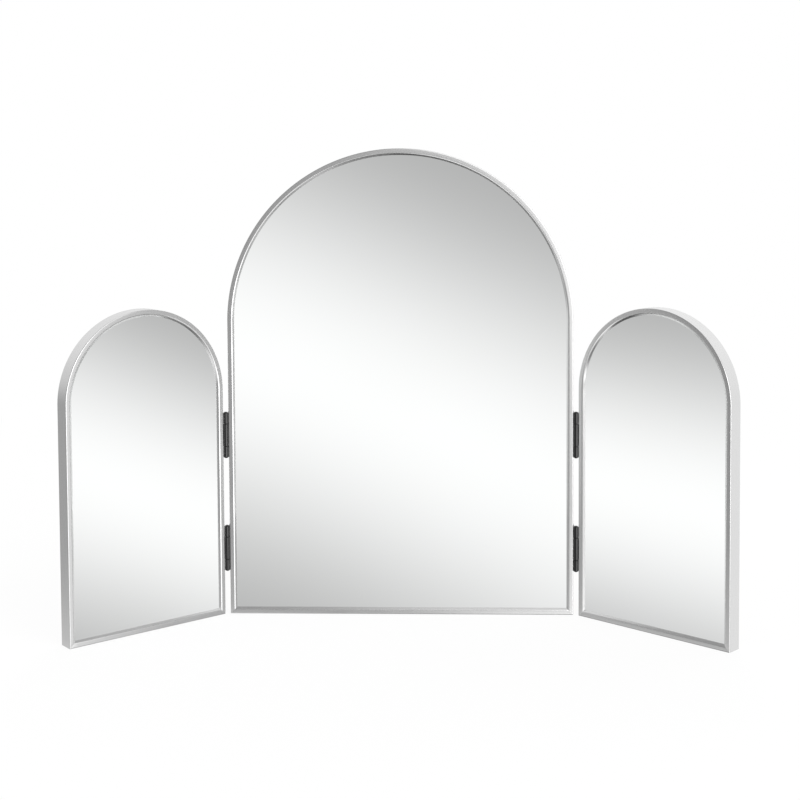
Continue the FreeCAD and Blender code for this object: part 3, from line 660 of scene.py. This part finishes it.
def light_map(tree, known, patches):
    """The sum of the patches, each the product of its edges, and an edge is a smooth step."""
    total = 0.0
    for edges in patches.values():
        patch = 1.0
        for direction, start, end, before, after in edges:
            edge = add(tree, "MapRange", {"interpolation_type": "SMOOTHSTEP"}, {
                "Value": known[direction], "From Min": start, "From Max": end,
                "To Min": before, "To Max": after}).outputs[0]
            patch = add(tree, "Math", {"operation": "MULTIPLY"}, {0: patch, 1: edge}).outputs[0]
        total = add(tree, "Math", {"operation": "ADD"}, {0: total, 1: patch}).outputs[0]
    return total


print("light maps:", {name: len(patches) for name, patches in LIGHT_MAPS.items()})

# %% [markdown]
# The sharp mirrors see a pale wall with one broad soft band across it. Its brightness is a cosine of
# the height above the band's crest, for half a period to each side, and the crest rises and falls in a
# slow wave round the room. The wall grows paler again further off, and a worktop darkens it low down.
# One table holds the whole sum, a step to a line, where a step may use the steps before it.

# %% Wall with a soft band
WALL_MIDDLE = 0.745
WALL_SWING = 0.285
WAVES = 5.0
WAVE_START = WAVES * math.radians(2.0)
CREST = math.radians(-9.6), math.radians(-4.1)  # straight ahead, and its change to the side
WAVE_HEIGHT = math.radians(-5.0), math.radians(2.4)
PERIOD = math.radians(24.0), math.radians(-10.5)
WALL_STEPS = [
    # result, operation, values or earlier results
    ("ahead", "MULTIPLY", "y", -1.0),
    ("turn", "ARCTAN2", "x", "ahead"),
    ("raised", "ARCSINE", "z"),
    ("aside", "ADD", "y", 1.0),
    ("wave_angle", "MULTIPLY_ADD", "turn", WAVES, WAVE_START),
    ("wave", "SINE", "wave_angle"),
    ("middle", "MULTIPLY_ADD", "aside", CREST[1], CREST[0]),
    ("wave_height", "MULTIPLY_ADD", "aside", WAVE_HEIGHT[1], WAVE_HEIGHT[0]),
    ("crest", "MULTIPLY_ADD", "wave", "wave_height", "middle"),
    ("period", "MULTIPLY_ADD", "aside", PERIOD[1], PERIOD[0]),
    ("above", "SUBTRACT", "raised", "crest"),
    ("periods", "DIVIDE", "above", "period"),
    ("phase", "ABSOLUTE", "periods"),
    ("in_band", "MINIMUM", "phase", 0.5),
    ("band_angle", "MULTIPLY", "in_band", 2 * math.pi),
    ("band", "COSINE", "band_angle"),
    ("banded_wall", "MULTIPLY_ADD", "band", WALL_SWING, WALL_MIDDLE),
]
print("wall from", round(WALL_MIDDLE - WALL_SWING, 2), "to", round(WALL_MIDDLE + WALL_SWING, 2))

# %% [markdown]
# The world then chooses by the kind of ray: plain white for the camera, the banded wall for rays that a
# perfectly sharp mirror sends out, and the studio for all the rest.

# %% World
def studio():
    """Works out the wall and the maps from the ray's direction, then picks one by the ray's kind."""
    world = bpy.data.worlds.new("studio")
    scene.world = world
    world.use_nodes = True
    tree = world.node_tree
    tree.nodes.clear()
    towards = add(tree, "TexCoord").outputs["Generated"]
    known = dict(zip("xyz", add(tree, "SeparateXYZ", inputs={"Vector": towards}).outputs))
    for result, operation, *values in WALL_STEPS:
        inputs = {number: known.get(value, value) for number, value in enumerate(values)}
        known[result] = add(tree, "Math", {"operation": operation}, inputs).outputs[0]
    for name, patches in LIGHT_MAPS.items():
        known[name] = light_map(tree, known, patches)
    room = add(tree, "Math", {"operation": "MULTIPLY"}, {
        0: known["room"], 1: known["below"]}).outputs[0]
    room = add(tree, "Mix", {"data_type": "FLOAT"}, {
        "Factor": known["wall_behind"], "A": room, "B": 1.0}).outputs[0]
    room = add(tree, "Math", {"operation": "ADD"}, {0: room, 1: known["softbox"]}).outputs[0]
    wall = add(tree, "Math", {"operation": "ADD"}, {
        0: known["banded_wall"], 1: known["past_band"]}).outputs[0]
    wall = add(tree, "Math", {"operation": "MULTIPLY_ADD"}, {
        0: wall, 1: known["worktop"], 2: wall}).outputs[0]
    ray = add(tree, "LightPath").outputs
    seen = add(tree, "Mix", {"data_type": "FLOAT"}, {
        "Factor": ray["Is Singular Ray"], "A": room, "B": wall}).outputs[0]
    seen = add(tree, "Mix", {"data_type": "FLOAT"}, {
        "Factor": ray["Is Camera Ray"], "A": seen, "B": 1.0}).outputs[0]
    colour = add(tree, "CombineColor", inputs={0: seen, 1: seen, 2: seen}).outputs[0]
    light = add(tree, "Background", inputs={"Color": colour, "Strength": 1.0}).outputs[0]
    add(tree, "OutputWorld", inputs={"Surface": light})
    return world


print("studio:", len(studio().node_tree.nodes), "nodes")

# %% [markdown]
# ## The floor
# A wide pale floor carries the mirror's soft shadow. A shadow catcher would hide the floor itself, but
# then nothing would stand there in other views. To the camera this floor is mostly plain white, so it
# runs into the white room without a line, and the mirrors do not show it.

# %% Floor
FLOOR_HALF = 60.0
WHITENED = 0.92  # near the object, so that its shadow shows
WHITE_FROM, WHITE_BY = 0.5, 2.0  # metres from the object, where the floor turns all white


def pale_floor():
    """Matt white paint, mixed for the camera alone with plain white that grows with the distance."""
    material, tree = new_material("floor, matt white")
    paint = add(tree, "BsdfDiffuse", inputs={"Color": srgb("#f2f2f2")}).outputs[0]
    white = add(tree, "Emission", inputs={"Color": srgb("#ffffff"), "Strength": 1.0}).outputs[0]
    place = add(tree, "TexCoord").outputs["Object"]
    away = add(tree, "VectorMath", {"operation": "LENGTH"}, {0: place}).outputs["Value"]
    whitened = add(tree, "MapRange", {"interpolation_type": "SMOOTHSTEP"}, {
        "Value": away, "From Min": WHITE_FROM, "From Max": WHITE_BY,
        "To Min": WHITENED, "To Max": 1.0}).outputs[0]
    camera_ray = add(tree, "LightPath").outputs["Is Camera Ray"]
    share = add(tree, "Math", {"operation": "MULTIPLY"}, {0: camera_ray, 1: whitened}).outputs[0]
    mixed = add(tree, "MixShader", inputs={0: share, 1: paint, 2: white}).outputs[0]
    add(tree, "OutputMaterial", inputs={"Surface": mixed})
    return material


corners = FLOOR_HALF * np.array([[-1, -1, 0], [1, -1, 0], [1, 1, 0], [-1, 1, 0]])
floor_mesh = bpy.data.meshes.new("floor")
floor_mesh.from_pydata(corners, [], [[0, 1, 2, 3]])
floor = bpy.data.objects.new("floor", floor_mesh)
scene.collection.objects.link(floor)
floor_mesh.materials.append(pale_floor())
floor.visible_glossy = False
print("floor:", 2 * FLOOR_HALF, "m square")

# %% [markdown]
# ## Lamps
# Three large soft lamps give the matt parts their shape and the floor its shadow: a key above to the
# right, a fill to the left and one behind for the back of the boards. Sun lamps would throw hard
# edges. The mirrors and the metal see only the room, so no lamp shows in them.

# %% Lamps
LAMP_AIM = (0, 0, 0.3)
LAMP_SIZE = 1.6
LAMPS = {
    # place in metres, power in watts
    "key": ((1.8, -1.8, 3.0), 45),
    "fill": ((-2.2, -1.2, 2.4), 20),
    "back": ((0.4, 2.4, 2.6), 25),
}


def soft_lamp(name, place, power):
    """A square area lamp that shines from its place towards the middle of the mirror."""
    lamp = bpy.data.lights.new(name, "AREA")
    lamp.shape = "SQUARE"
    lamp.size = LAMP_SIZE
    lamp.energy = power
    holder = bpy.data.objects.new(name, lamp)
    scene.collection.objects.link(holder)
    holder.location = place
    holder.rotation_euler = (Vector(place) - Vector(LAMP_AIM)).to_track_quat("Z", "Y").to_euler()
    holder.visible_glossy = False
    print(name, "lamp,", power, "W at", place)


for name, (place, power) in LAMPS.items():
    soft_lamp(name, place, power)

# %% [markdown]
# ## The camera
# A short telephoto near the height of the mirror's top and slightly to its right, aimed almost level.
# Tilting it down would frame the mirror too, but the uprights would lean. The picture is cropped low
# instead, as with a shifted lens, so the uprights stay upright.

# %% Camera
IMAGE = 800
FOCAL_PIXELS = 1476.84
AXIS_ABOVE_MIDDLE = 150
SENSOR = 36.0
VIEW_END = 200
CAMERA_PLACE = (0.07786, -2.16625, 0.66140)
YAW, PITCH, ROLL = -0.03557, -0.05599, -0.00597

camera = bpy.data.cameras.new("camera")
camera.sensor_width = SENSOR
camera.lens = FOCAL_PIXELS / IMAGE * SENSOR
camera.shift_y = -AXIS_ABOVE_MIDDLE / IMAGE
camera.clip_end = VIEW_END
holder = bpy.data.objects.new("camera", camera)
scene.collection.objects.link(holder)
holder.matrix_world = (
    Matrix.Translation(CAMERA_PLACE)
    @ Matrix.Rotation(-YAW, 4, "Z")
    @ Matrix.Rotation(math.pi / 2 + PITCH, 4, "X")
    @ Matrix.Rotation(ROLL, 4, "Z")
)
scene.camera = holder
print("camera:", round(camera.lens, 1), "mm lens at", CAMERA_PLACE)
